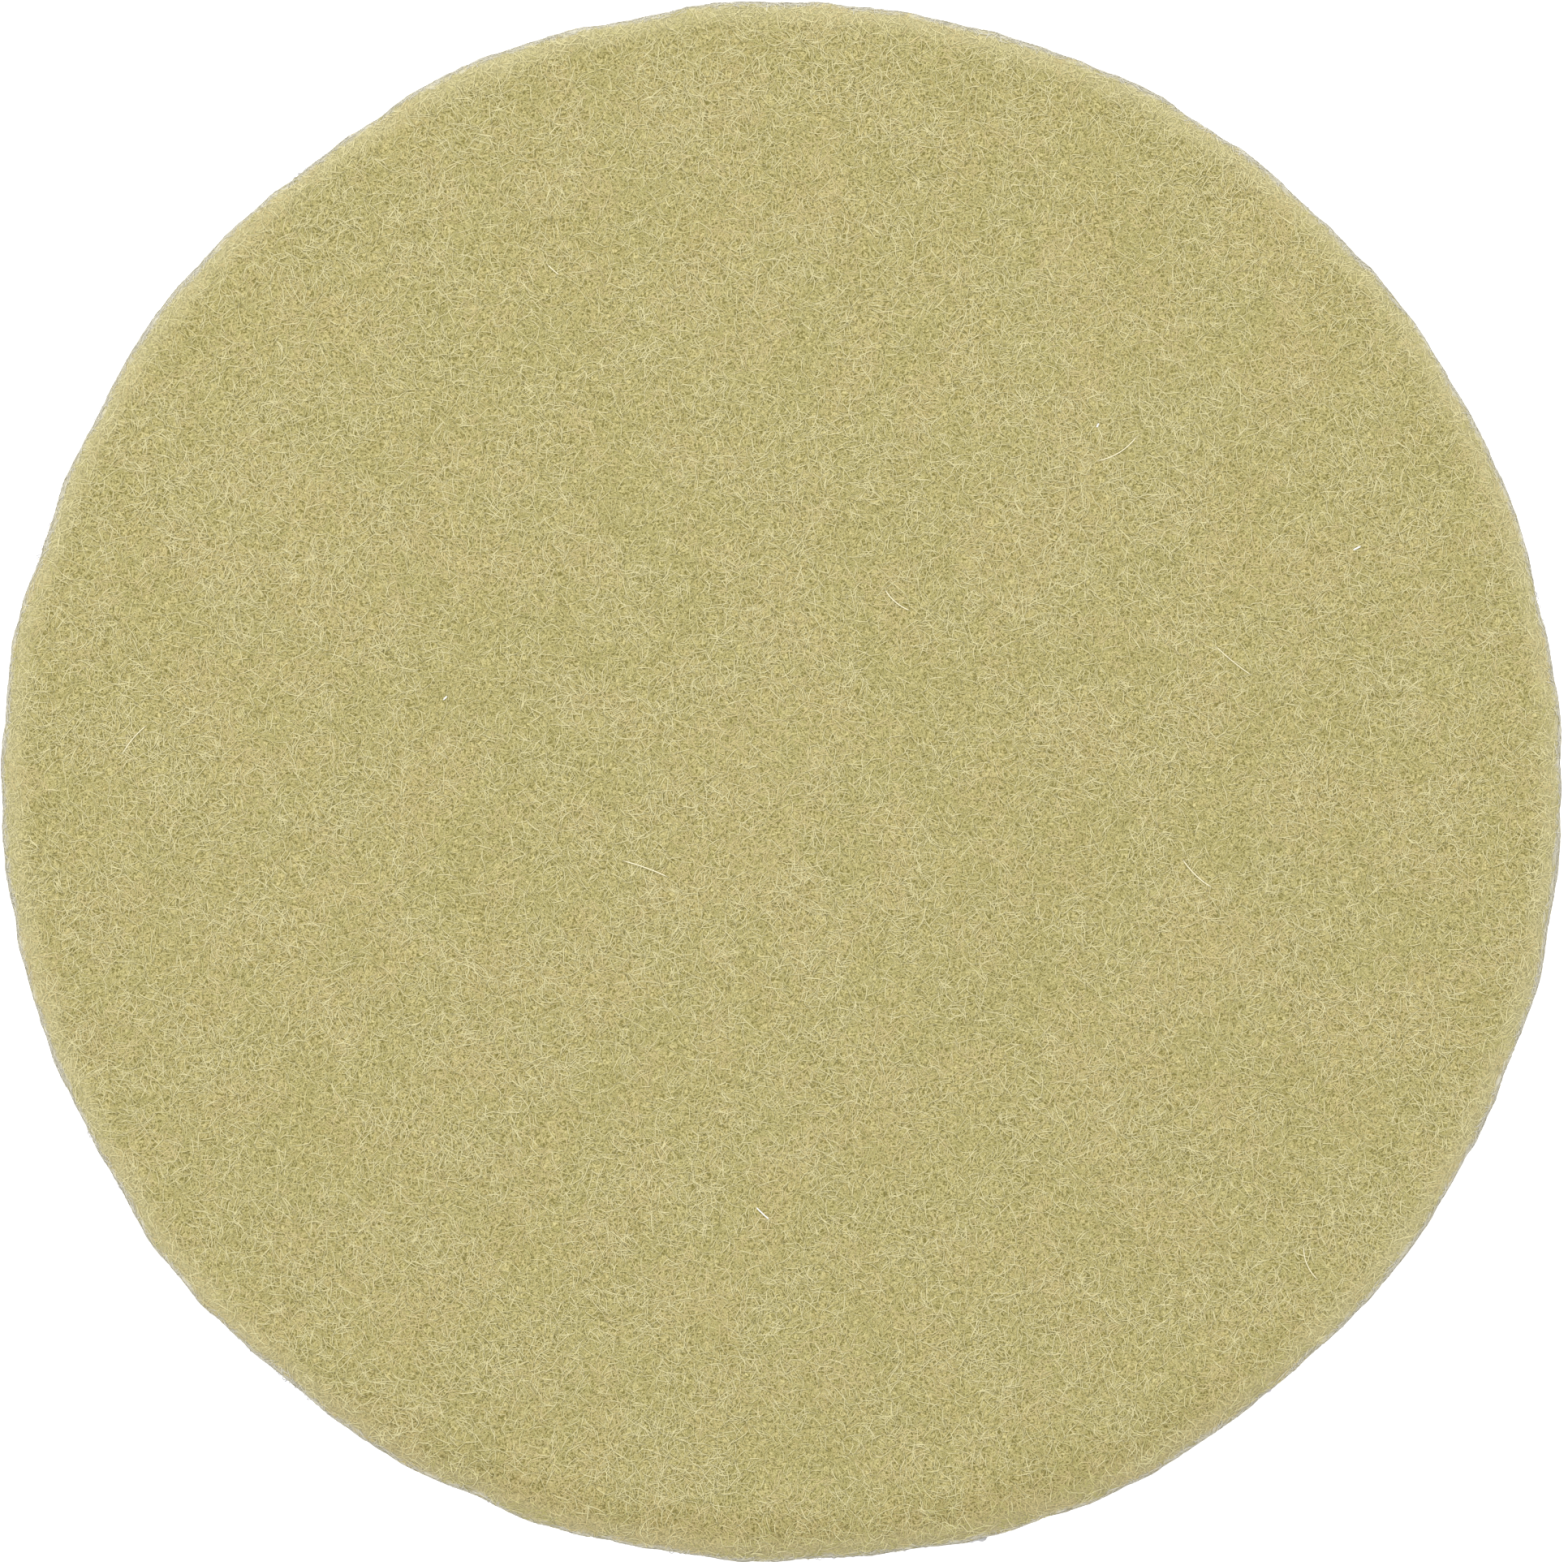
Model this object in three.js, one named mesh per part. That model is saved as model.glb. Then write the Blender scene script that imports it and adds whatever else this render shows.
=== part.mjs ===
// Felt polishing disc for a lapidary lap or disc machine.
//
// A pad of pressed wool felt with no bore, held by its back. It is a glued laminate of three
// die-cut layers: the felt, a hot-melt laminating film, and the brushed loop cloth that presses
// onto a hook-faced backing plate.
//
// Millimetres. The disc lies on its loop cloth with the working face up. The origin is the centre
// of the loop cloth's underside, and +Z is the spin axis, towards the working face.

import * as THREE from "three";

// Driving dimensions
const FELT_DIAMETER = 150; // the 6 inch class
const FELT_THICKNESS = 8;
const FACE_EDGE_ROUND = 1.6; // radius where the working face turns down into the side
const BACK_EDGE_ROUND = 0.5; // radius where the side turns in under the felt

const LOOP_CLOTH_THICKNESS = 1.7; // knitted ground and brushed loops together
const LOOP_CLOTH_EDGE_ROUND = 0.4; // radius of the brushed lower edge
const LOOP_CLOTH_INSET = 0.3; // how far its edge stays inside the felt's side

const FILM_THICKNESS = 0.3;
const FILM_INSET = 0.6; // how far its edge stays inside the felt's side

// Facets
const SEGMENTS_AROUND = 128;
const STEPS_PER_EDGE = 5;

// The layers are bonded face to face, so each starts where the one below ends.
const filmBottom = LOOP_CLOTH_THICKNESS;
const feltBottom = filmBottom + FILM_THICKNESS;

// Points on a quarter circle in the half plane of radius and height, from one angle to another.
function roundedEdge(centreRadius, centreHeight, round, fromDegrees, toDegrees) {
  const points = [];
  for (let step = 0; step <= STEPS_PER_EDGE; step++) {
    const degrees = THREE.MathUtils.lerp(fromDegrees, toDegrees, step / STEPS_PER_EDGE);
    const angle = THREE.MathUtils.degToRad(degrees);
    points.push(
      new THREE.Vector2(
        centreRadius + round * Math.cos(angle),
        centreHeight + round * Math.sin(angle),
      ),
    );
  }
  return points;
}

// A solid round layer with its own rounding at the lower and the upper edge, 0 for a square edge.
function roundLayer({ radius, thickness, lowerRound = 0, upperRound = 0 }) {
  const profile = [new THREE.Vector2(0, 0)];
  if (lowerRound > 0) {
    profile.push(...roundedEdge(radius - lowerRound, lowerRound, lowerRound, -90, 0));
  } else {
    profile.push(new THREE.Vector2(radius, 0));
  }
  if (upperRound > 0) {
    profile.push(...roundedEdge(radius - upperRound, thickness - upperRound, upperRound, 0, 90));
  } else {
    profile.push(new THREE.Vector2(radius, thickness));
  }
  profile.push(new THREE.Vector2(0, thickness));

  // A lathe turns about +Y, and the disc's axis is +Z.
  return new THREE.LatheGeometry(profile, SEGMENTS_AROUND).rotateX(Math.PI / 2);
}

function makeFeltPad() {
  const material = new THREE.MeshStandardMaterial({
    color: 0xbdb37d,
    roughness: 0.95,
    metalness: 0,
  });
  const geometry = roundLayer({
    radius: FELT_DIAMETER / 2,
    thickness: FELT_THICKNESS,
    lowerRound: BACK_EDGE_ROUND,
    upperRound: FACE_EDGE_ROUND,
  });
  const mesh = new THREE.Mesh(geometry, material);
  mesh.name = "felt_pad";
  mesh.position.z = feltBottom;
  return mesh;
}

function makeAdhesiveFilm() {
  const material = new THREE.MeshStandardMaterial({
    color: 0xdedbe4,
    roughness: 0.35,
    metalness: 0,
  });
  const geometry = roundLayer({
    radius: FELT_DIAMETER / 2 - FILM_INSET,
    thickness: FILM_THICKNESS,
  });
  const mesh = new THREE.Mesh(geometry, material);
  mesh.name = "adhesive_film";
  mesh.position.z = filmBottom;
  return mesh;
}

function makeLoopBacking() {
  const material = new THREE.MeshStandardMaterial({
    color: 0xefeff2,
    roughness: 0.85,
    metalness: 0,
  });
  const geometry = roundLayer({
    radius: FELT_DIAMETER / 2 - LOOP_CLOTH_INSET,
    thickness: LOOP_CLOTH_THICKNESS,
    lowerRound: LOOP_CLOTH_EDGE_ROUND,
  });
  const mesh = new THREE.Mesh(geometry, material);
  mesh.name = "loop_backing";
  return mesh;
}

const group = new THREE.Group();
group.name = "felt_polishing_disc";
group.add(makeFeltPad());
group.add(makeAdhesiveFilm());
group.add(makeLoopBacking());

export default group;
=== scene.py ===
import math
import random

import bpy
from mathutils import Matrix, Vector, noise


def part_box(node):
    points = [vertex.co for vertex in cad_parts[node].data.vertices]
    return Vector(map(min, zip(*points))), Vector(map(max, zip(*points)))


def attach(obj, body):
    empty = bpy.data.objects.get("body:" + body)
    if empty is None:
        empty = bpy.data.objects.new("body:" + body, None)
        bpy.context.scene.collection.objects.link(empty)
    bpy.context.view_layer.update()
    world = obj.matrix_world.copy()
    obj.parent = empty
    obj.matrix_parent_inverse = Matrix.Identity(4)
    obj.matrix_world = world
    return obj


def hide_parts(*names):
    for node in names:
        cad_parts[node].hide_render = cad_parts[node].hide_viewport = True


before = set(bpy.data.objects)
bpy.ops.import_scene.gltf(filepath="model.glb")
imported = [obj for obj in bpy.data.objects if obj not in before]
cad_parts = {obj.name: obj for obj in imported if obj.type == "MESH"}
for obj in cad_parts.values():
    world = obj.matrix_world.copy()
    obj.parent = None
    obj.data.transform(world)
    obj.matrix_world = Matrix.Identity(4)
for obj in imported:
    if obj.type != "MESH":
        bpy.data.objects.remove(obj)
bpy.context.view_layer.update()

# A felt polishing disc: pressed wool felt on a hot-melt film and a brushed loop cloth. It lies on its
# loop cloth with the working face up, and +Z is its spin axis. Sizes are in metres, and the materials
# work in millimetres.

MM = 0.001

# ---- Sizes, from the frame ----

felt_low, felt_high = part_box("felt_pad")
film_low, film_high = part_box("adhesive_film")
cloth_low, cloth_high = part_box("loop_backing")

FELT_RADIUS = (felt_high.x - felt_low.x) / 2
FELT_BOTTOM = felt_low.z
FELT_TOP = felt_high.z
FILM_RADIUS = (film_high.x - film_low.x) / 2
CLOTH_RADIUS = (cloth_high.x - cloth_low.x) / 2
CLOTH_TOP = cloth_high.z

# The felt's edges
FACE_EDGE_ROUND = 1.9 * MM  # the worn, softened edge of the working face
BACK_EDGE_ROUND = 0.5 * MM
FIBRES_STAND_OUT = 0.1 * MM  # how far the fibres stand out from the felt's side

# How finely the pieces are meshed
FACE_CELLS = 192  # across the felt's face, and four times as many around its edge
SIDE_ROWS = 12
EDGE_ROWS = 7
BACK_EDGE_ROWS = 2
LAYER_STEPS = 1440  # around the film and the loop cloth

# Where the film and the cloth reach past the felt: degrees round from +X, how far past their own cut
# edge, and half the width in degrees
FILM_BEAD = (-51.3, 1.05 * MM, 0.8)
CLOTH_TUFTS = ((-75.2, 1.22 * MM, 0.95), (-75.95, 1.1 * MM, 0.8))


# ---- Small helpers ----


def node(tree, kind, inputs=None, **settings):
    """A node with its settings and inputs. An input takes a value, or the socket that feeds it."""
    made = tree.nodes.new(kind)
    for name, value in settings.items():
        setattr(made, name, value)
    for key, value in (inputs or {}).items():
        if isinstance(value, bpy.types.NodeSocket):
            tree.links.new(value, made.inputs[key])
        else:
            made.inputs[key].default_value = value
    return made


def maths(tree, operation, *values):
    """The result of a Math node."""
    return node(tree, "ShaderNodeMath", dict(enumerate(values)), operation=operation).outputs[0]


def smooth_step(tree, value, low, high, to_low=0.0, to_high=1.0):
    """Value eased from to_low to to_high as it goes from low to high."""
    inputs = {
        "Value": value,
        "From Min": low,
        "From Max": high,
        "To Min": to_low,
        "To Max": to_high,
    }
    made = node(tree, "ShaderNodeMapRange", inputs, interpolation_type="SMOOTHSTEP")
    return made.outputs["Result"]


def mix_colours(tree, share, first, second, blend="MIX"):
    """One colour turned into another by share."""
    made = node(tree, "ShaderNodeMix", data_type="RGBA", blend_type=blend)
    for key, value in ((0, share), (6, first), (7, second)):
        if isinstance(value, bpy.types.NodeSocket):
            tree.links.new(value, made.inputs[key])
        elif key == 0:
            made.inputs[key].default_value = value
        else:
            made.inputs[key].default_value = (*value, 1)
    return made.outputs[2]


def new_material(name, roughness, sheen=0.0, sheen_tint=(1, 1, 1), sheen_roughness=0.5):
    """A material with its plain shader, which is returned with it."""
    material = bpy.data.materials.new(name)
    material.use_nodes = True
    shader = material.node_tree.nodes["Principled BSDF"]
    shader.inputs["Roughness"].default_value = roughness
    shader.inputs["Sheen Weight"].default_value = sheen
    shader.inputs["Sheen Tint"].default_value = (*sheen_tint, 1)
    shader.inputs["Sheen Roughness"].default_value = sheen_roughness
    shader.inputs["Specular IOR Level"].default_value = 0.25
    return material, shader


def millimetres(tree):
    """The place on the piece, in millimetres."""
    place = node(tree, "ShaderNodeTexCoord").outputs["Object"]
    inputs = {0: place, "Scale": 1 / MM}
    return node(tree, "ShaderNodeVectorMath", inputs, operation="SCALE").outputs[0]


def noise_at(tree, place, per_mm, detail=2.0, roughness=0.5, offset=0.0):
    """Soft noise from 0 to 1, with lumps about 1 / per_mm millimetres across."""
    if offset:
        moved = node(tree, "ShaderNodeVectorMath", {0: place, 1: (offset, -offset, offset)})
        place = moved.outputs[0]
    inputs = {"Vector": place, "Scale": per_mm, "Detail": detail, "Roughness": roughness}
    return node(tree, "ShaderNodeTexNoise", inputs).outputs[0]


def flat_distance(tree, place):
    """A place's flat part, and how far it is from the disc's axis."""
    flat = node(tree, "ShaderNodeVectorMath", {0: place, 1: (1, 1, 0)}, operation="MULTIPLY").outputs[0]
    away = node(tree, "ShaderNodeVectorMath", {0: flat}, operation="LENGTH").outputs["Value"]
    return flat, away


def link_object(name, mesh):
    """A mesh put in the scene as a piece of its own."""
    made = bpy.data.objects.new(name, mesh)
    bpy.context.scene.collection.objects.link(made)
    return made


def dress(piece, material=None):
    """Puts a finished piece on the disc, with its material in a slot of its own when one is given."""
    if material is not None:
        piece.data.materials.clear()
        piece.data.materials.append(material)
    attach(piece, "root")


# ---- Helpers for the geometry trees ----


def group_inputs(tree, *sockets):
    """Named inputs on a geometry tree, as {name: identifier}."""
    made = {}
    for name, kind, default in sockets:
        socket = tree.interface.new_socket(name=name, in_out="INPUT", socket_type=kind)
        if default is not None:
            socket.default_value = default
        made[name] = socket.identifier
    return made


def geometry_tree(name, *sockets):
    """A geometry tree with a mesh in, a mesh out and named inputs: (tree, group input, identifiers)."""
    tree = bpy.data.node_groups.new(name, "GeometryNodeTree")
    tree.interface.new_socket(name="Mesh", in_out="INPUT", socket_type="NodeSocketGeometry")
    identifiers = group_inputs(tree, *sockets)
    tree.interface.new_socket(name="Mesh", in_out="OUTPUT", socket_type="NodeSocketGeometry")
    return tree, node(tree, "NodeGroupInput"), identifiers


def grown(name, mesh, tree, identifiers, settings):
    """A plain mesh object made by running a geometry tree on mesh."""
    seed = link_object(name + "_seed", mesh)
    modifier = seed.modifiers.new("grow", "NODES")
    modifier.node_group = tree
    for key, value in settings.items():
        modifier[identifiers[key]] = value
    graph = bpy.context.evaluated_depsgraph_get()
    finished = bpy.data.meshes.new_from_object(seed.evaluated_get(graph), depsgraph=graph)
    finished.name = name
    for attribute in [a for a in finished.attributes if a.name in ("rise", "shade")]:
        finished.attributes.remove(attribute)
    seed.modifiers.clear()
    bpy.data.objects.remove(seed)
    return link_object(name, finished)


def random_value(tree, kind, low, high, seed):
    """A random value between low and high for each point."""
    sockets = {"FLOAT_VECTOR": (0, 1), "FLOAT": (2, 3), "INT": (4, 5)}[kind]
    inputs = {sockets[0]: low, sockets[1]: high, "Seed": seed}
    made = node(tree, "FunctionNodeRandomValue", inputs, data_type=kind)
    return made.outputs[{"FLOAT_VECTOR": 0, "FLOAT": 1, "INT": 2}[kind]]


def spread_points(tree, given, chosen):
    """Points strewn over the chosen faces, as densely as the tree's inputs say."""
    inputs = {
        "Mesh": given.outputs["Mesh"],
        "Selection": chosen,
        "Density": given.outputs["Per square metre"],
        "Seed": given.outputs["Seed"],
    }
    return node(tree, "GeometryNodeDistributePointsOnFaces", inputs)


def shapes_on_points(tree, spread, shapes, turn_seed, size, pick=None):
    """One of the shapes at each point, turned at random about the surface's normal."""
    turn = random_value(tree, "FLOAT_VECTOR", (0, 0, 0), (0, 0, 2 * math.pi), turn_seed)
    turn = node(tree, "FunctionNodeEulerToRotation", {0: turn}).outputs[0]
    inputs = {"Rotation": spread.outputs["Rotation"], "Rotate By": turn}
    rotation = node(tree, "FunctionNodeRotateRotation", inputs, rotation_space="LOCAL").outputs[0]
    inputs = {"Collection": shapes, "Separate Children": True, "Reset Children": True}
    inputs = {
        "Points": spread.outputs["Points"],
        "Instance": node(tree, "GeometryNodeCollectionInfo", inputs).outputs[0],
        "Pick Instance": True,
        "Rotation": rotation,
        "Scale": size,
    }
    if pick is not None:
        inputs["Instance Index"] = pick
    return node(tree, "GeometryNodeInstanceOnPoints", inputs).outputs[0]


def carried(tree, name):
    """A value that the mesh carries under a name."""
    return node(tree, "GeometryNodeInputNamedAttribute", {"Name": name}, data_type="FLOAT").outputs[0]


def set_material(tree, mesh, material, chosen=True):
    """The mesh with a material on its chosen faces."""
    inputs = {"Geometry": mesh, "Selection": chosen, "Material": material}
    return node(tree, "GeometryNodeSetMaterial", inputs).outputs[0]


# ---- The camera, the floor and the lights ----

VIEW_OVER_FELT = 1.0054645  # how much wider the view is than the felt at its widest
VIEW_WIDTH = 2 * FELT_RADIUS * VIEW_OVER_FELT
CAMERA_HEIGHT = 1.6
CAMERA_ASIDE = (0.00016, -0.00005)  # how far the camera is off the disc's axis
SENSOR = 36.0  # the camera's own unit, millimetres


def make_camera():
    """A camera straight above the disc, with the felt's widest part just inside its frame."""
    data = bpy.data.cameras.new("camera")
    data.sensor_width = SENSOR
    widest = FELT_TOP - FACE_EDGE_ROUND
    data.lens = SENSOR * (CAMERA_HEIGHT - widest) / VIEW_WIDTH
    data.clip_start = 0.05
    data.clip_end = 60
    camera = bpy.data.objects.new("camera", data)
    camera.location = (*CAMERA_ASIDE, CAMERA_HEIGHT)
    bpy.context.scene.collection.objects.link(camera)
    bpy.context.scene.camera = camera


def make_floor():
    """A plain white table that glows a little, so that it stays white right up to the disc."""
    mesh = bpy.data.meshes.new("floor")
    reach = 12
    corners = [(-reach, -reach, 0), (reach, -reach, 0), (reach, reach, 0), (-reach, reach, 0)]
    mesh.from_pydata(corners, [], [(0, 1, 2, 3)])
    floor = link_object("floor", mesh)
    material, shader = new_material("white_table", 0.9)
    shader.inputs["Base Color"].default_value = (0.82, 0.82, 0.82, 1)
    shader.inputs["Emission Color"].default_value = (1, 1, 1, 1)
    shader.inputs["Emission Strength"].default_value = 0.65
    mesh.materials.append(material)


def make_lights():
    """A pale room, and one long softbox above the disc's far side."""
    world = bpy.data.worlds.new("pale_room")
    world.use_nodes = True
    background = world.node_tree.nodes["Background"]
    background.inputs["Color"].default_value = (1, 1, 1, 1)
    background.inputs["Strength"].default_value = 1.0
    bpy.context.scene.world = world

    data = bpy.data.lights.new("softbox", "AREA")
    data.shape = "RECTANGLE"
    data.size = 1.5
    data.size_y = 0.4
    data.energy = 8.35
    light = bpy.data.objects.new("softbox", data)
    light.location = (-0.1, 0.34, 0.95)
    light.rotation_euler = (-light.location).to_track_quat("-Z", "Y").to_euler()
    bpy.context.scene.collection.objects.link(light)


# ---- Felt ----

OLIVE = (0.248, 0.226, 0.068)
TAN = (0.288, 0.222, 0.076)
STRAND = (0.588, 0.525, 0.252)
# Painted shade in the felt's pits
PIT_SHADE = (0.178, 0.154, 0.041)
# Painted light at the edge: the next colour lightens the last few millimetres in as painted bounce light
# from the table, and the one after it, at the cut edge, is partly pale frayed fuzz and partly painted
# bounce light and sheen.
EDGE_BOUNCE_LIGHT = (0.54, 0.5, 0.315)
RIM_FUZZ_AND_LIGHT = (0.59, 0.566, 0.468)
PAINTED_SHADE = (0.86, 0.83, 0.8)  # what is left of the light on the stretch in painted shade
WOOL_SHEEN = (1, 0.97, 0.86)
STRAND_TURNS = ((0.3, 0.1, 0.2), (0.1, 0.4, 0.95), (0.5, 0.2, 1.75), (0.2, 0.5, 2.5))
STRAND_CURL = 1.2  # how far, in millimetres, a slow curl bends the strands
STRAND_SET_APART = 17.0  # millimetres between the patterns of one set of strands and the next

# Where painted light and painted shade fall on the felt. The pale side, partly frayed fuzz and partly
# painted bounce light and sheen, fades out between two heights, and the painted shade on the side away
# from the softbox grows outwards between two radii and towards -Y between two lines.
PALE_SIDE_FADE = (FELT_TOP - 3.6 * MM, FELT_TOP - 1.4 * MM)
PALE_FIBRES = (FELT_TOP - 3.8 * MM, FELT_TOP - 1.5 * MM)
PAINTED_SHADE_RADII = (FELT_RADIUS - 6 * MM, FELT_RADIUS - 2.5 * MM)
PAINTED_SHADE_LINES = (-48 * MM, -66 * MM)


def felt_tones(tree, place):
    """The felt's slow changes of tone: cloudy patches of tan and olive."""
    cloud = noise_at(tree, place, 0.16, detail=4, roughness=0.7)
    return mix_colours(tree, smooth_step(tree, cloud, 0.3, 0.7), OLIVE, TAN)


def strands(tree, place, turn, offset):
    """Thin ridges that run one way through the felt, 0 between them and 1 along them."""
    inputs = {
        "Vector": place,
        "Location": (offset, 0, 0),
        "Rotation": turn,
        "Scale": (1.4, 0.15, 0.15),
    }
    stretched = node(tree, "ShaderNodeMapping", inputs, vector_type="TEXTURE").outputs[0]
    wave = noise_at(tree, stretched, 1.0, detail=0.0)
    away = maths(tree, "ABSOLUTE", maths(tree, "SUBTRACT", wave, 0.5))
    return smooth_step(tree, away, 0.07, 0.0)


def crossing_strands(tree, place):
    """Sets of strands that cross at several turns, all bent by the same slow curl."""
    inputs = {"Vector": place, "Scale": 0.7, "Detail": 1.0}
    curl = node(tree, "ShaderNodeTexNoise", inputs).outputs["Color"]
    inputs = {0: curl, "Scale": STRAND_CURL}
    bend = node(tree, "ShaderNodeVectorMath", inputs, operation="SCALE").outputs[0]
    bent = node(tree, "ShaderNodeVectorMath", {0: place, 1: bend}).outputs[0]
    height = 0.0
    for i, turn in enumerate(STRAND_TURNS):
        height = maths(tree, "MAXIMUM", strands(tree, bent, turn, STRAND_SET_APART * i), height)
    return height


def in_millimetres(limits):
    """Limits in metres, for a material that works in millimetres."""
    return tuple(limit / MM for limit in limits)


def painted_edge_light_and_shade(tree, place, wool):
    """The wool's colour, with painted shade on a stretch of rim, and painted light and fuzz on the upper
    edge.
    """
    y, z = node(tree, "ShaderNodeSeparateXYZ", {0: place}).outputs[1:]
    distance = flat_distance(tree, place)[1]
    # Painted shade on a stretch of rim towards -Y, the side away from the softbox.
    painted_shade = smooth_step(tree, distance, *in_millimetres(PAINTED_SHADE_RADII))
    painted_shade = maths(tree, "MULTIPLY", painted_shade, smooth_step(tree, y, *in_millimetres(PAINTED_SHADE_LINES)))

    # The side below the upper edge fades back to the wool's own colour.
    from_edge = node(tree, "ShaderNodeAttribute", attribute_name="from_edge").outputs["Fac"]
    high_on_side = smooth_step(tree, z, *in_millimetres(PALE_SIDE_FADE), 0.06, 0.95)
    # The last few millimetres in are lightened as painted bounce light from the table.
    edge_bounce = maths(tree, "MULTIPLY", high_on_side, smooth_step(tree, from_edge, 3.0, 0.3, 0, 0.45))
    tufts = smooth_step(tree, noise_at(tree, place, 0.8, detail=4, offset=23), 0.38, 0.62, 0.3, 1)
    # The cut edge turns pale in tufts: partly frayed fuzz, partly painted bounce light and sheen.
    fray = maths(tree, "MULTIPLY", high_on_side, smooth_step(tree, from_edge, 0.7, 0.0))
    fray = maths(tree, "MULTIPLY", fray, tufts)
    lit_and_shaded_wool = mix_colours(tree, edge_bounce, wool, EDGE_BOUNCE_LIGHT)
    lit_and_shaded_wool = mix_colours(tree, painted_shade, lit_and_shaded_wool, PAINTED_SHADE, "MULTIPLY")
    return mix_colours(tree, fray, lit_and_shaded_wool, RIM_FUZZ_AND_LIGHT)


def make_felt_material():
    """Matted wool: crossing strands over pits darkened as painted shade, in patches of tone, with a pale
    edge of fuzz and painted light.
    """
    material, shader = new_material("pressed_wool_felt", 0.95, sheen=0.06, sheen_tint=WOOL_SHEEN)
    tree = material.node_tree
    place = millimetres(tree)
    height = crossing_strands(tree, place)
    depth = noise_at(tree, place, 5.5, detail=1.0, offset=11)
    tone = mix_colours(tree, maths(tree, "MULTIPLY", height, 0.9), felt_tones(tree, place), STRAND)
    # The pits get the darkest colour: painted shade.
    pitted = mix_colours(tree, smooth_step(tree, depth, 0.34, 0.54), PIT_SHADE, tone)
    tree.links.new(painted_edge_light_and_shade(tree, place, pitted), shader.inputs["Base Color"])
    bump = node(tree, "ShaderNodeBump", {"Strength": 0.35, "Distance": 0.08 * MM, "Height": height})
    tree.links.new(bump.outputs[0], shader.inputs["Normal"])
    return material


def square_to_disc(across, up):
    """A point of the square from -1 to 1 moved into the unit disc, so that even cells stay even."""
    if across == 0 and up == 0:
        return 0.0, 0.0
    if abs(across) > abs(up):
        radius, angle = across, math.pi / 4 * up / across
    else:
        radius, angle = up, math.pi / 2 - math.pi / 4 * across / up
    return radius * math.cos(angle), radius * math.sin(angle)


def rim_path(cells):
    """The cells of the square's border in turn, counter-clockwise."""
    return (
        [(i, 0) for i in range(cells)]
        + [(cells, i) for i in range(cells)]
        + [(cells - i, cells) for i in range(cells)]
        + [(0, cells - i) for i in range(cells)]
    )


def felt_profile():
    """(inset from the felt's side, height), from the edge of the flat face down to the back."""
    steps = []
    for row in range(1, EDGE_ROWS + 1):
        angle = math.pi / 2 * row / EDGE_ROWS
        inset = FACE_EDGE_ROUND * (1 - math.sin(angle))
        steps.append((inset, FELT_TOP - FACE_EDGE_ROUND * (1 - math.cos(angle))))
    upper, lower = FELT_TOP - FACE_EDGE_ROUND, FELT_BOTTOM + BACK_EDGE_ROUND
    for row in range(1, SIDE_ROWS + 1):
        steps.append((0.0, upper + (lower - upper) * row / SIDE_ROWS))
    for row in range(1, BACK_EDGE_ROWS + 1):
        angle = math.pi / 2 * row / BACK_EDGE_ROWS
        inset = BACK_EDGE_ROUND * (1 - math.cos(angle))
        steps.append((inset, lower - BACK_EDGE_ROUND * math.sin(angle)))
    return steps


def felt_body_mesh():
    """The smooth felt pad, with an evenly celled face."""
    cells = FACE_CELLS
    radius = FELT_RADIUS - FIBRES_STAND_OUT
    flat_radius = radius - FACE_EDGE_ROUND
    points, faces, insets = [], [], []
    for row in range(cells + 1):
        for column in range(cells + 1):
            x, y = square_to_disc(2 * column / cells - 1, 2 * row / cells - 1)
            points.append((x * flat_radius, y * flat_radius, FELT_TOP))
            insets.append(radius - flat_radius * math.hypot(x, y))

    def at(column, row):
        return row * (cells + 1) + column

    for row in range(cells):
        for column in range(cells):
            corners = ((column, row), (column + 1, row), (column + 1, row + 1), (column, row + 1))
            faces.append(tuple(at(*corner) for corner in corners))

    ring = [at(*cell) for cell in rim_path(cells)]
    around = len(ring)
    directions = [Vector(points[i][:2]).normalized() for i in ring]
    for inset, height in felt_profile():
        below = range(len(points), len(points) + around)
        points += [(*(d * (radius - inset)), height) for d in directions]
        insets += [inset] * around
        for i in range(around):
            j = (i + 1) % around
            faces.append((ring[i], below[i], below[j], ring[j]))
        ring = below
    points.append((0, 0, FELT_BOTTOM))
    insets.append(radius)
    centre = len(points) - 1
    faces += [(ring[i], centre, ring[(i + 1) % around]) for i in range(around)]

    mesh = bpy.data.meshes.new("felt_pad_body")
    mesh.from_pydata(points, [], faces)
    from_edge = mesh.attributes.new("from_edge", "FLOAT", "POINT")  # millimetres in from the cut edge
    from_edge.data.foreach_set("value", [inset / MM for inset in insets])
    return mesh


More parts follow.
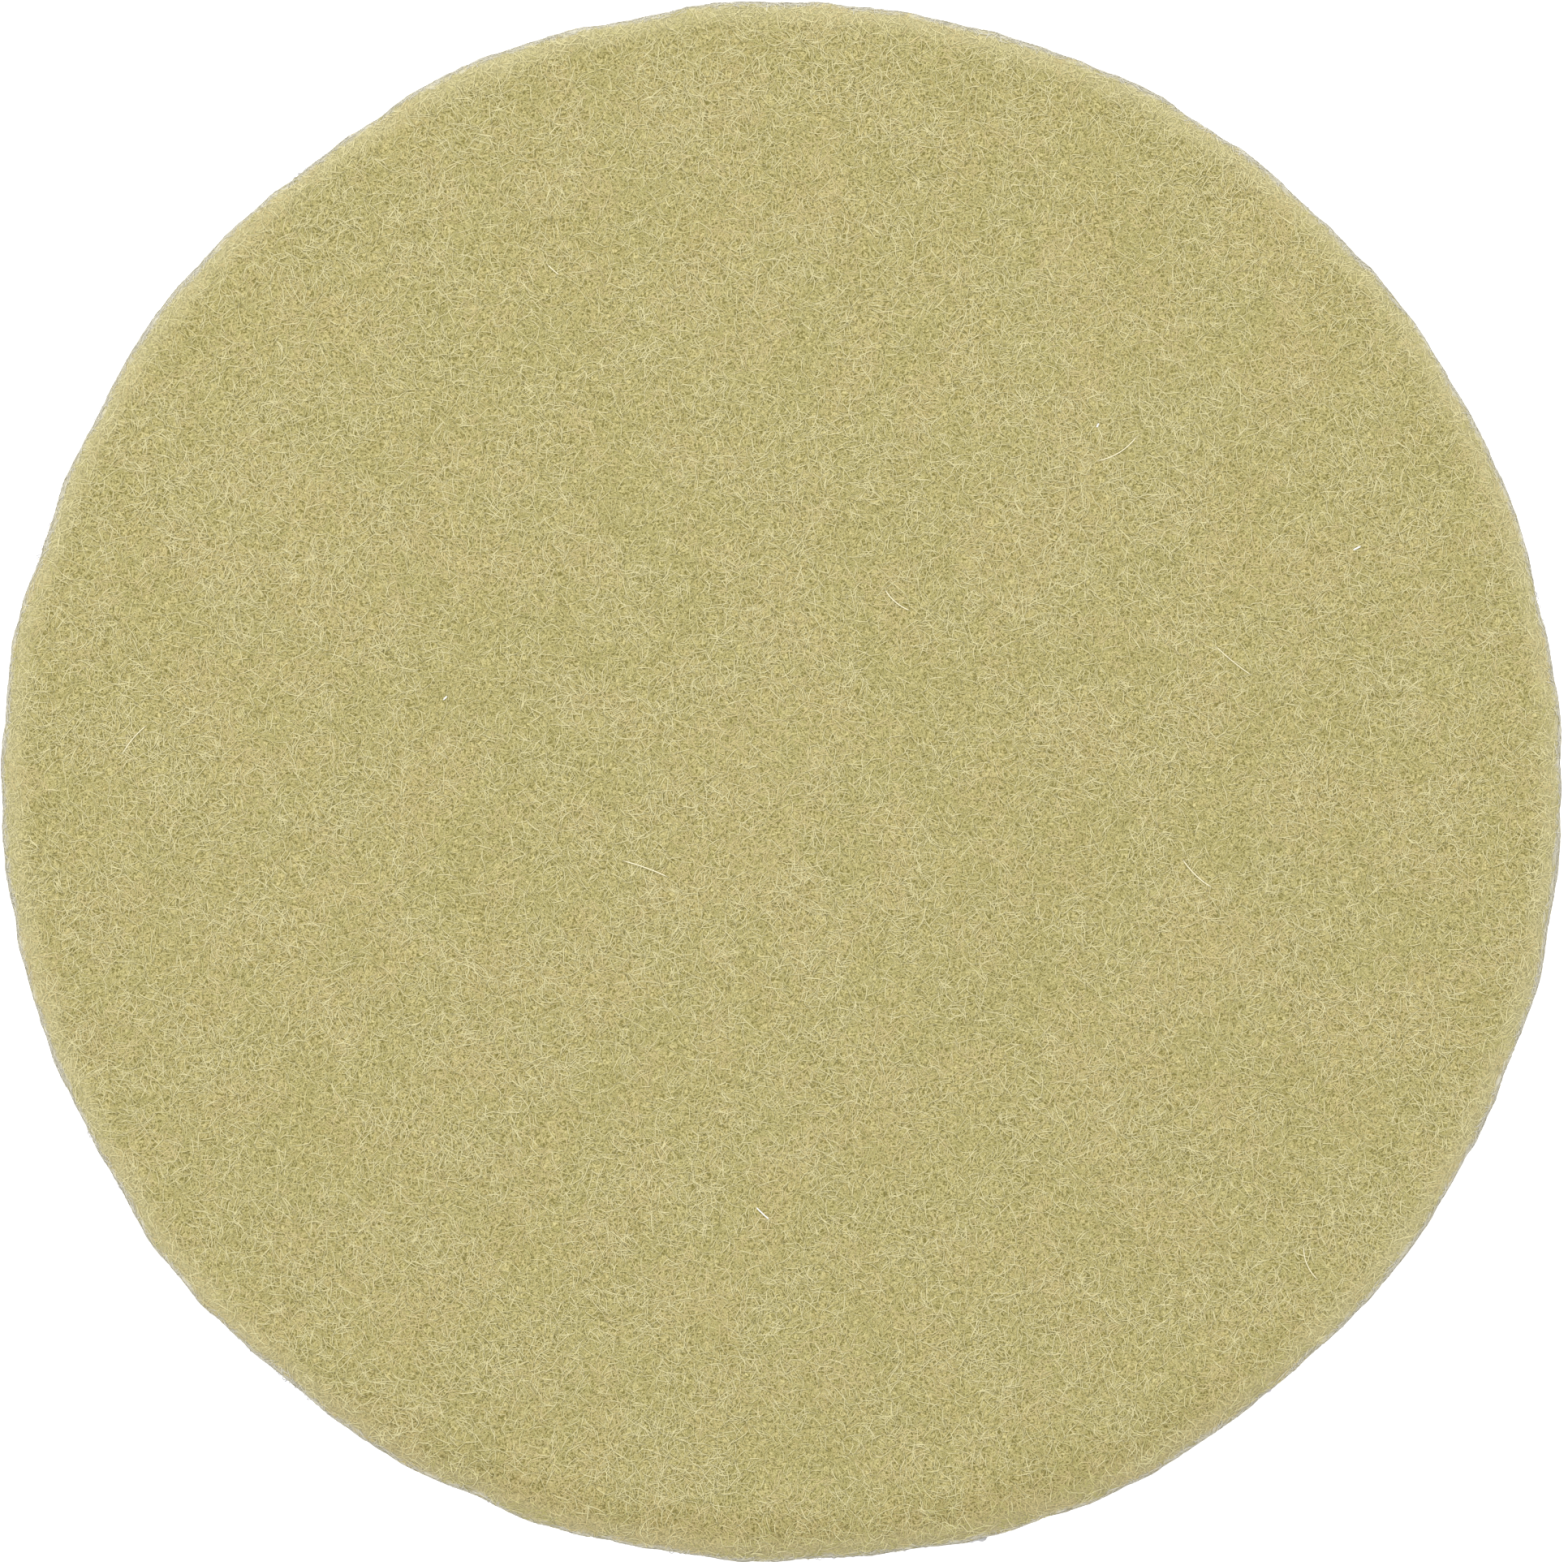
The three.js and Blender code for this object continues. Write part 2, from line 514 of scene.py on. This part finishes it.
def felt_surface_tree():
    """Moves the points of a smooth felt pad sideways at its edge, and up and down on its face."""
    tree, given, identifiers = geometry_tree(
        "felt_surface",
        ("Radius", "NodeSocketFloat", FELT_RADIUS),
        ("Bottom", "NodeSocketFloat", FELT_BOTTOM),
        ("Lump height", "NodeSocketFloat", 0.1 * MM),
        ("Edge wander", "NodeSocketFloat", 0.3 * MM),
        ("Edge scallop", "NodeSocketFloat", 0.2 * MM),
        ("Edge fray", "NodeSocketFloat", 0.1 * MM),
        ("Felt", "NodeSocketMaterial", None),
    )
    place = node(tree, "GeometryNodeInputPosition").outputs[0]
    z = node(tree, "ShaderNodeSeparateXYZ", {0: place}).outputs[2]
    flat, distance = flat_distance(tree, place)
    outward = node(tree, "ShaderNodeVectorMath", {0: flat}, operation="NORMALIZE").outputs[0]
    above = maths(tree, "SUBTRACT", z, given.outputs["Bottom"])
    free = smooth_step(tree, above, 0.2 * MM, 1.5 * MM)

    def centred(vector, per_metre, detail):
        inputs = {"Vector": vector, "Scale": per_metre, "Detail": detail}
        made = node(tree, "ShaderNodeTexNoise", inputs).outputs[0]
        return maths(tree, "SUBTRACT", made, 0.5)

    # The outline, by direction from the axis, with a finer fray that changes down the side.
    lengths = (("Edge wander", 2.6, 1.0), ("Edge scallop", 7.0, 1.5))
    push = 0.0
    for name, turns, detail in lengths:
        wave = centred(outward, turns, detail)
        push = maths(tree, "MULTIPLY_ADD", wave, given.outputs[name], push)
    fray = centred(place, 330.0, 3.0)
    push = maths(tree, "MULTIPLY_ADD", fray, given.outputs["Edge fray"], push)
    inner = maths(tree, "MULTIPLY", given.outputs["Radius"], 0.94)
    outer = maths(tree, "MULTIPLY", given.outputs["Radius"], 0.985)
    push = maths(tree, "MULTIPLY", push, smooth_step(tree, distance, inner, outer))
    sideways = node(tree, "ShaderNodeVectorMath", {0: outward, "Scale": push}, operation="SCALE")

    # The face: lumps a few millimetres across and finer ones over them.
    lumps = maths(tree, "ADD", centred(place, 160.0, 3.0), centred(place, 700.0, 2.0))
    rise = maths(tree, "MULTIPLY", lumps, given.outputs["Lump height"])
    upward = node(tree, "ShaderNodeCombineXYZ", {2: rise}).outputs[0]
    both = node(tree, "ShaderNodeVectorMath", {0: sideways.outputs[0], 1: upward}).outputs[0]
    moved = node(tree, "ShaderNodeVectorMath", {0: both, "Scale": free}, operation="SCALE")
    inputs = {"Geometry": given.outputs["Mesh"], "Offset": moved.outputs[0]}
    placed = node(tree, "GeometryNodeSetPosition", inputs).outputs[0]
    solid = node(tree, "GeometryNodeRealizeInstances", {"Geometry": placed}).outputs[0]
    node(tree, "NodeGroupOutput", {"Mesh": set_material(tree, solid, given.outputs["Felt"])})
    return tree, identifiers


def make_felt_pad(material):
    """The felt itself, with its face and edges as pressing, cutting and wear leave them."""
    tree, identifiers = felt_surface_tree()
    settings = {
        "Lump height": 0.1 * MM,
        "Edge wander": 1.2 * MM,
        "Edge scallop": 1.45 * MM,
        "Edge fray": 0.72 * MM,
        "Felt": material,
    }
    pad = grown("felt_pad_wool", felt_body_mesh(), tree, identifiers, settings)
    pad.data.shade_smooth()
    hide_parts("felt_pad")
    dress(pad)
    return pad


# ---- Loose and matted fibres ----

FIBRE_SHAPES = 24
FIBRE_STEPS = 3
FIBRE_SIDES = 3
FIBRE_ARCH = 0.07 * MM


def tube(points, width):
    """A closed thin thread along points: three-cornered rings with a flat side up, and pointed ends."""
    vertices, faces = [points[0]], []
    for before, point, after in zip(points, points[1:], points[2:]):
        along = (after - before).normalized()
        side = along.cross(Vector((0, 0, 1))).normalized()
        up = side.cross(along)
        for corner in range(FIBRE_SIDES):
            angle = 2 * math.pi * corner / FIBRE_SIDES - math.pi / 2
            vertices.append(point + (side * math.cos(angle) + up * math.sin(angle)) * width / 2)
    vertices.append(points[-1])
    last = len(vertices) - 1
    rings = len(points) - 2
    for corner in range(FIBRE_SIDES):
        beside = (corner + 1) % FIBRE_SIDES
        faces.append((0, 1 + corner, 1 + beside))
        for ring in range(rings - 1):
            start = 1 + ring * FIBRE_SIDES
            after = start + FIBRE_SIDES
            faces.append((start + corner, after + corner, after + beside, start + beside))
        start = 1 + (rings - 1) * FIBRE_SIDES
        faces.append((start + corner, last, start + beside))
    return vertices, faces


def curled_path(draw, length, bend, steps, arch):
    """Points of a crimped fibre in XY that bends by so many radians and arches up in the middle."""
    heading, turn = 0.0, draw.uniform(0.5, 1.0) * bend * draw.choice((-1, 1))
    swing = draw.uniform(-0.5, 0.5) * bend
    place, points = Vector((0, 0, 0)), []
    for i in range(steps + 1):
        t = i / steps
        points.append(place.copy() + Vector((0, 0, arch * (math.sin(math.pi * t) - 0.5))))
        heading += (turn + swing * math.sin(2 * math.pi * t)) / steps
        place += Vector((math.cos(heading), math.sin(heading), 0)) * length / steps
    middle = points[steps // 2].copy()
    middle.z = 0
    return [p - middle for p in points]


def fibre_collection(material):
    """A hidden set of fibre shapes, which the scatter tree picks from."""
    draw = random.Random(12)
    shapes = bpy.data.collections.new("fibre_shapes")
    for i in range(FIBRE_SHAPES):
        length = FIBRE_STEPS * draw.uniform(0.38, 0.92) * MM
        bend = FIBRE_STEPS * draw.uniform(0.3, 0.8)
        path = curled_path(draw, length, bend, FIBRE_STEPS, FIBRE_ARCH)
        vertices, faces = tube(path, draw.uniform(0.05, 0.08) * MM)
        mesh = bpy.data.meshes.new(f"fibre_shape_{i}")
        mesh.from_pydata([tuple(v) for v in vertices], [], faces)
        rise = mesh.attributes.new("rise", "FLOAT", "POINT")
        rise.data.foreach_set("value", [v.z for v in vertices])
        mesh.shade_smooth()
        mesh.materials.append(material)
        shapes.objects.link(bpy.data.objects.new(f"fibre_shape_{i}", mesh))
    return shapes


def fibre_shade(tree, place, lightness):
    """How pale a fibre is: under 1, under 2 or over 2 for the dark, middle or light wool."""
    y, z = node(tree, "ShaderNodeSeparateXYZ", {0: place}).outputs[1:]
    distance = flat_distance(tree, place)[1]
    chance = maths(tree, "ADD", random_value(tree, "FLOAT", -0.1, 2.9, 11), lightness)

    # Paler at the rim, partly frayed fuzz and partly painted bounce light and sheen; darker along a
    # stretch towards -Y, as painted shade on the side away from the softbox
    rim_light = smooth_step(tree, distance, FELT_RADIUS - 4 * MM, FELT_RADIUS - 0.5 * MM, 0.0, 0.7)
    high_on_side = smooth_step(tree, z, *PALE_FIBRES)
    chance = maths(tree, "MULTIPLY_ADD", high_on_side, rim_light, chance)
    # Painted shade: fibres darker along the stretch of rim towards -Y, away from the softbox.
    near_rim = smooth_step(tree, distance, *PAINTED_SHADE_RADII)
    painted_shade = smooth_step(tree, y, *PAINTED_SHADE_LINES, 0.0, -0.8)
    chance = maths(tree, "MULTIPLY_ADD", near_rim, painted_shade, chance)

    # Slow patches, and thin streaks that run along X
    slow = node(tree, "ShaderNodeTexNoise", {"Vector": place, "Scale": 130.0, "Detail": 2.0}).outputs[0]
    chance = maths(tree, "ADD", chance, smooth_step(tree, slow, 0.25, 0.75, -0.7, 0.85))
    streaks = node(tree, "ShaderNodeVectorMath", {0: place, 1: (60, 300, 300)}, operation="MULTIPLY")
    inputs = {"Vector": streaks.outputs[0], "Scale": 1.0, "Detail": 2.0}
    cloud = node(tree, "ShaderNodeTexNoise", inputs).outputs[0]
    return maths(tree, "MULTIPLY_ADD", cloud, 0.45, chance)


def settle_fibres(tree, given, fibres, place):
    """Every point of a fibre comes down to the felt below it, then rises by its own height."""
    pad = given.outputs["Mesh"]
    x, y, z = node(tree, "ShaderNodeSeparateXYZ", {0: place}).outputs
    lowest = maths(tree, "MAXIMUM", z, given.outputs["Lowest"])
    above = node(tree, "ShaderNodeCombineXYZ", {0: x, 1: y, 2: lowest}).outputs[0]
    inputs = {"Geometry": pad, "Sample Position": above}
    nearest = node(tree, "GeometryNodeProximity", inputs, target_element="FACES").outputs["Position"]
    normal = node(tree, "GeometryNodeInputNormal").outputs[0]
    inputs = {"Mesh": pad, "Value": normal, "Sample Position": above}
    sampled = node(tree, "GeometryNodeSampleNearestSurface", inputs, data_type="FLOAT_VECTOR")
    lift = given.outputs["Lift"]
    # The darker a fibre, the lower it lies, so its dark wool stands in part for painted shade deep in
    # the mat; the wools also differ at random.
    height = maths(tree, "MULTIPLY_ADD", carried(tree, "shade"), lift, carried(tree, "rise"))
    inputs = {0: sampled.outputs[0], "Scale": height}
    rise = node(tree, "ShaderNodeVectorMath", inputs, operation="SCALE").outputs[0]
    settled = node(tree, "ShaderNodeVectorMath", {0: nearest, 1: rise}).outputs[0]
    return node(tree, "GeometryNodeSetPosition", {"Geometry": fibres, "Position": settled}).outputs[0]


def pick_wools(tree, given, fibres, place):
    """Each fibre's wool, by its shade. Middling fibres are tan in patches, most of all in the middle."""
    inputs = {"Vector": place, "Scale": 170.0, "Detail": 5.0, "Roughness": 0.6}
    patch = node(tree, "ShaderNodeTexNoise", inputs).outputs[0]
    tanner = smooth_step(tree, flat_distance(tree, place)[1], 16 * MM, 6 * MM, 0.0, 0.1)
    warm = maths(tree, "GREATER_THAN", maths(tree, "ADD", patch, tanner), 0.53)
    shade = carried(tree, "shade")
    picks = (("Dark", -9.0, 1.0), ("Middle", 1.0, 2.0), ("Warm", 0.2, 2.4), ("Light", 2.0, 9.0))
    for name, low, high in picks:
        over = maths(tree, "GREATER_THAN", shade, low)
        chosen = maths(tree, "MULTIPLY", over, maths(tree, "LESS_THAN", shade, high))
        if name == "Warm":
            chosen = maths(tree, "MULTIPLY", chosen, warm)
        fibres = set_material(tree, fibres, given.outputs[name], chosen)
    return fibres


def fray_rim(tree, given, fibres, place):
    """Fibres at the rim are frayed and pale, partly fuzz and partly painted light, the light ones
    further in and lower than the dark ones.
    """
    shade = carried(tree, "shade")
    from_edge = carried(tree, "from_edge")
    inputs = {"Mesh": given.outputs["Mesh"], "Value": from_edge, "Sample Position": place}
    inset = node(tree, "GeometryNodeSampleNearestSurface", inputs, data_type="FLOAT").outputs[0]
    reached = maths(tree, "LESS_THAN", inset, maths(tree, "MULTIPLY", shade, 0.15))
    z = node(tree, "ShaderNodeSeparateXYZ", {0: place}).outputs[2]
    raised = maths(tree, "MULTIPLY_ADD", shade, 0.7 * MM, z)
    high_on_side = maths(tree, "GREATER_THAN", raised, FELT_TOP - 1.4 * MM)
    chosen = maths(tree, "MULTIPLY", high_on_side, reached)
    return set_material(tree, fibres, given.outputs["Frayed"], chosen)


def scatter_tree():
    """Lays fibres over a felt surface in five wools. The lighter a fibre is, the higher it lies."""
    tree, given, identifiers = geometry_tree(
        "lay_fibres",
        ("Shapes", "NodeSocketCollection", None),
        ("Per square metre", "NodeSocketFloat", 200000.0),
        ("Seed", "NodeSocketInt", 1),
        ("Lowest", "NodeSocketFloat", 0.0),
        ("Lift", "NodeSocketFloat", 0.018 * MM),
        ("Lightness", "NodeSocketFloat", 0.0),
        ("Dark", "NodeSocketMaterial", None),
        ("Middle", "NodeSocketMaterial", None),
        ("Warm", "NodeSocketMaterial", None),
        ("Light", "NodeSocketMaterial", None),
        ("Frayed", "NodeSocketMaterial", None),
    )
    place = node(tree, "GeometryNodeInputPosition").outputs[0]
    z = node(tree, "ShaderNodeSeparateXYZ", {0: place}).outputs[2]
    inputs = {0: z, 1: given.outputs["Lowest"]}
    shown = node(tree, "FunctionNodeCompare", inputs, data_type="FLOAT", operation="GREATER_THAN")
    spread = spread_points(tree, given, shown.outputs[0])
    pick = random_value(tree, "INT", 0, FIBRE_SHAPES - 1, 5)
    size = random_value(tree, "FLOAT", 0.75, 1.25, 7)
    laid = shapes_on_points(tree, spread, given.outputs["Shapes"], 3, size, pick)
    shade = fibre_shade(tree, place, given.outputs["Lightness"])
    inputs = {"Geometry": laid, "Name": "shade", "Value": shade}
    kinds = {"data_type": "FLOAT", "domain": "INSTANCE"}
    marked = node(tree, "GeometryNodeStoreNamedAttribute", inputs, **kinds).outputs[0]
    fibres = node(tree, "GeometryNodeRealizeInstances", {"Geometry": marked}).outputs[0]
    fibres = settle_fibres(tree, given, fibres, place)
    fibres = pick_wools(tree, given, fibres, place)
    fibres = fray_rim(tree, given, fibres, place)
    node(tree, "NodeGroupOutput", {"Mesh": fibres})
    return tree, identifiers


def fibre_material(name, colour):
    """Loose wool of one plain colour."""
    material, shader = new_material(name, 0.85, sheen=0.16, sheen_tint=WOOL_SHEEN)
    shader.inputs["Base Color"].default_value = (*colour, 1)
    return material


FIBRE_LAYERS = 10
FIBRES_PER_LAYER = 14500
BARE_FOOT = 0.4 * MM  # the felt's side is left bare this far up from its back
LIGHTER_BY_LAYER = 0.1


def make_fibres(pad):
    """Layers of fibres matted over the felt's face and side, each a plain mesh of its own."""
    tree, identifiers = scatter_tree()
    shades = {
        "Dark": fibre_material("wool_olive", (0.43, 0.39, 0.148)),
        "Middle": fibre_material("wool_straw", (0.547, 0.497, 0.228)),
        "Warm": fibre_material("wool_tan", (0.575, 0.488, 0.236)),
        # Pale fibres at the cut edge: partly frayed fuzz, partly painted bounce light and sheen
        "Frayed": fibre_material("wool_rim_fuzz_and_light", RIM_FUZZ_AND_LIGHT),
        "Light": fibre_material("wool_pale", (0.65, 0.594, 0.322)),
    }
    shapes = fibre_collection(shades["Middle"])
    covered = math.pi * FELT_RADIUS**2 + 2 * math.pi * FELT_RADIUS * (FELT_TOP - FELT_BOTTOM)
    for layer in range(FIBRE_LAYERS):
        settings = {
            "Shapes": shapes,
            "Per square metre": FIBRES_PER_LAYER / covered,
            "Seed": 101 + layer,
            "Lowest": FELT_BOTTOM + BARE_FOOT,
            "Lightness": LIGHTER_BY_LAYER * (layer - FIBRE_LAYERS / 2),
            **shades,
        }
        fibres = grown(f"felt_fibres_{layer + 1}", pad.data.copy(), tree, identifiers, settings)
        dress(fibres)


# Stray hairs and lint on the face: middle in mm, heading and bend in degrees, length and width in mm
HAIRS = (
    (32.4, 31.7, 32, 48, 4.9, 0.11),
    (50.4, -46.3, -67, 55, 3.9, 0.1),
    (-13.1, -8.2, -20, -12, 5.0, 0.12),
    (39.7, -8.9, -44, 28, 4.2, 0.12),
    (43.3, 11.6, -39, 12, 4.8, 0.1),
    (10.9, 17.3, -40, 42, 3.4, 0.12),
    (-62.4, 4.2, 50, -26, 4.0, 0.1),
    (-22.0, 49.2, -42, 10, 1.5, 0.12),
)
LINT = (
    (-1.9, -41.4, -43, 6, 1.8, 0.14),
    (55.2, 22.5, 27, 0, 0.85, 0.17),
    (30.3, 34.3, 62, 0, 0.45, 0.17),
    (-32.4, 8.1, 45, 0, 0.55, 0.16),
)


STRAY_STEPS = 8


def make_strays(name, hairs, material):
    """Single hairs that lie on the face, each an arc with its ends tucked into the mat."""
    steps, points, faces = STRAY_STEPS, [], []
    for x, y, heading, bend, length, width in hairs:
        path, place = [], Vector((0, 0, 0))
        for i in range(steps + 1):
            path.append(place.copy())
            angle = math.radians(heading + bend * ((i + 0.5) / steps - 0.5))
            place += Vector((math.cos(angle), math.sin(angle), 0)) * length / steps
        middle = path[steps // 2].copy()
        for i, point in enumerate(path):
            point += Vector((x, y, 0)) - middle
            point.z = FELT_TOP / MM + 0.1 + 0.08 * math.sin(math.pi * i / steps)
        vertices, sides = tube(path, width)
        faces += [tuple(len(points) + corner for corner in side) for side in sides]
        points += [v * MM for v in vertices]
    mesh = bpy.data.meshes.new(name)
    mesh.from_pydata(points, [], faces)
    mesh.shade_smooth()
    dress(link_object(name, mesh), material)


# ---- Film and loop cloth ----


def proud_at(angle, middle_degrees, proud, half_width_degrees):
    """How far an edge stands out at an angle, in a smooth bump about one place."""
    away = (math.degrees(angle) - middle_degrees + 180) % 360 - 180
    return proud * max(0.0, 1 - (away / half_width_degrees) ** 2) ** 1.5


def layer_mesh(name, edge_radius, rows):
    """A closed round layer. rows are (inset from the edge, height), from its top to its bottom."""
    around = LAYER_STEPS
    points, faces = [(0, 0, rows[0][1])], []
    for inset, height in rows:
        for i in range(around):
            angle = 2 * math.pi * i / around
            radius = edge_radius(angle) - inset
            points.append((radius * math.cos(angle), radius * math.sin(angle), height))
    points.append((0, 0, rows[-1][1]))
    bottom = len(points) - 1
    for i in range(around):
        j = (i + 1) % around
        faces.append((0, 1 + i, 1 + j))
        for row in range(len(rows) - 1):
            start = 1 + row * around
            faces.append((start + i, start + around + i, start + around + j, start + j))
        last = 1 + (len(rows) - 1) * around
        faces.append((bottom, last + j, last + i))
    mesh = bpy.data.meshes.new(name)
    mesh.from_pydata(points, [], faces)
    mesh.shade_smooth()
    return mesh


FILM_LILAC = (0.62, 0.6, 0.66)
FILM_PALE = (0.86, 0.85, 0.88)


def make_film():
    """The hot-melt film, with the bead that was squeezed out at one place."""

    def edge(angle):
        ripple = noise.noise(Vector((math.cos(angle), math.sin(angle), 0)) * 14) * 0.12 * MM
        return FILM_RADIUS + ripple + proud_at(angle, *FILM_BEAD)

    thickness = film_high.z - film_low.z
    round_by = thickness * 0.3
    rows = [
        (4 * MM, film_high.z),
        (round_by, film_high.z),
        (0.0, film_high.z - round_by),
        (0.0, film_low.z + round_by),
        (round_by, film_low.z),
        (4 * MM, film_low.z),
    ]
    film = link_object("glue_film", layer_mesh("glue_film", edge, rows))
    material, shader = new_material("hot_melt_film", 0.3)
    tree = material.node_tree
    place = millimetres(tree)
    cloudy = noise_at(tree, place, 0.7, detail=3)
    colour = mix_colours(tree, smooth_step(tree, cloudy, 0.3, 0.7), FILM_LILAC, FILM_PALE)
    tree.links.new(colour, shader.inputs["Base Color"])
    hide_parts("adhesive_film")
    dress(film, material)


NAP = 0.22 * MM  # how far the loops stand below the dense part of the cloth
# White nylon given in greys as painted shade: the darker grey in the knit's hollows, the paler grey on
# its tops.
CLOTH_SHADED = (0.48, 0.48, 0.5)
CLOTH_PALE = (0.64, 0.64, 0.66)


def make_loop_cloth():
    """The brushed loop cloth under the film, with the tuft that sticks out at one place."""

    def edge(angle):
        ripple = noise.noise(Vector((math.cos(angle), math.sin(angle), 3)) * 22) * 0.16 * MM
        return CLOTH_RADIUS + ripple + max(proud_at(angle, *tuft) for tuft in CLOTH_TUFTS)

    rows = [
        (8 * MM, CLOTH_TOP),
        (0.1 * MM, CLOTH_TOP),
        (0.0, CLOTH_TOP - 0.15 * MM),
        (0.0, CLOTH_TOP - 0.6 * MM),
        (0.08 * MM, NAP + 0.25 * MM),
        (0.35 * MM, NAP),
        (8 * MM, NAP),
    ]
    cloth = link_object("loop_cloth", layer_mesh("loop_cloth", edge, rows))
    material, shader = new_material("brushed_nylon", 0.75, sheen=0.4, sheen_roughness=0.4)
    tree = material.node_tree
    place = millimetres(tree)
    knit = noise_at(tree, place, 2.2, detail=2.0, offset=9)
    colour = mix_colours(tree, smooth_step(tree, knit, 0.3, 0.7), CLOTH_SHADED, CLOTH_PALE)
    tree.links.new(colour, shader.inputs["Base Color"])
    bump = node(tree, "ShaderNodeBump", {"Strength": 0.8, "Distance": 0.15 * MM, "Height": knit})
    tree.links.new(bump.outputs[0], shader.inputs["Normal"])
    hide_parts("loop_backing")
    dress(cloth, material)
    return cloth


FRINGE_LOOPS = 3000
LOOP_SHAPES = 10
LOOP_STEPS = 5
YARN_CLEAR = 0.02 * MM  # the lowest yarn is this far above what the cloth rests on


def loop_collection(material):
    """A hidden set of small loops of yarn that stand up from XY."""
    draw = random.Random(31)
    shapes = bpy.data.collections.new("loop_shapes")
    for i in range(LOOP_SHAPES):
        height, span, lean = draw.uniform(0.28, 0.5), draw.uniform(0.12, 0.3), draw.uniform(0.1, 0.3)
        path = []
        for step in range(LOOP_STEPS + 1):
            angle = math.pi * step / LOOP_STEPS
            up = height * math.sin(angle)
            path.append(Vector((span * math.cos(angle), lean * up + 0.02 * step, up)) * MM)
        vertices, faces = tube(path, draw.uniform(0.06, 0.09) * MM)
        mesh = bpy.data.meshes.new(f"loop_shape_{i}")
        mesh.from_pydata([tuple(v) for v in vertices], [], faces)
        mesh.shade_smooth()
        mesh.materials.append(material)
        shapes.objects.link(bpy.data.objects.new(f"loop_shape_{i}", mesh))
    return shapes


def fringe_tree():
    """Stands loops of yarn on the edge of a round cloth."""
    tree, given, identifiers = geometry_tree(
        "stand_loops",
        ("Shapes", "NodeSocketCollection", None),
        ("Per square metre", "NodeSocketFloat", 5e6),
        ("Seed", "NodeSocketInt", 1),
        ("Beyond", "NodeSocketFloat", 0.07),
        ("Within", "NodeSocketFloat", 0.08),
        ("Underside", "NodeSocketFloat", 0.0),
        ("Top", "NodeSocketFloat", 0.002),
        ("Yarn", "NodeSocketMaterial", None),
    )
    place = node(tree, "GeometryNodeInputPosition").outputs[0]
    x, y, z = node(tree, "ShaderNodeSeparateXYZ", {0: place}).outputs
    distance = flat_distance(tree, place)[1]
    on_edge = maths(tree, "GREATER_THAN", distance, given.outputs["Beyond"])
    limits = (
        ("LESS_THAN", distance, "Within"),
        ("GREATER_THAN", z, "Underside"),
        ("LESS_THAN", z, "Top"),
    )
    for test, value, name in limits:
        on_edge = maths(tree, "MULTIPLY", on_edge, maths(tree, test, value, given.outputs[name]))
    spread = spread_points(tree, given, on_edge)
    size = random_value(tree, "FLOAT", 0.7, 1.2, 4)
    stood = shapes_on_points(tree, spread, given.outputs["Shapes"], 0, size)
    loops = node(tree, "GeometryNodeRealizeInstances", {"Geometry": stood}).outputs[0]

    # Loops that would reach below the cloth's underside lie flat on what it rests on.
    height = maths(tree, "MAXIMUM", z, YARN_CLEAR)
    above = node(tree, "ShaderNodeCombineXYZ", {0: x, 1: y, 2: height}).outputs[0]
    loops = node(tree, "GeometryNodeSetPosition", {"Geometry": loops, "Position": above}).outputs[0]
    node(tree, "NodeGroupOutput", {"Mesh": set_material(tree, loops, given.outputs["Yarn"])})
    return tree, identifiers


def make_fringe(cloth):
    """The loops that show all round the cloth's cut edge."""
    yarn, shader = new_material("nylon_yarn", 0.6, sheen=0.2)
    # White nylon yarn given grey as painted shade.
    shader.inputs["Base Color"].default_value = (0.6, 0.6, 0.62, 1)
    tree, identifiers = fringe_tree()
    edge_area = 2 * math.pi * CLOTH_RADIUS * (CLOTH_TOP - NAP)
    settings = {
        "Shapes": loop_collection(yarn),
        "Per square metre": FRINGE_LOOPS / edge_area,
        "Seed": 7,
        "Beyond": CLOTH_RADIUS - 0.35 * MM,
        "Within": CLOTH_RADIUS + 0.2 * MM,
        "Underside": NAP + 0.05 * MM,
        "Top": CLOTH_TOP - 0.05 * MM,
        "Yarn": yarn,
    }
    dress(grown("loop_cloth_fringe", cloth.data.copy(), tree, identifiers, settings))


# ---- The whole disc ----

bpy.context.scene.view_settings.view_transform = "Standard"
make_camera()
make_floor()
make_lights()
felt_pad = make_felt_pad(make_felt_material())
make_fibres(felt_pad)
make_strays("stray_hairs", HAIRS, fibre_material("stray_wool", (0.8, 0.74, 0.5)))
make_strays("lint", LINT, fibre_material("white_lint", (0.95, 0.94, 0.88)))
make_film()
make_fringe(make_loop_cloth())
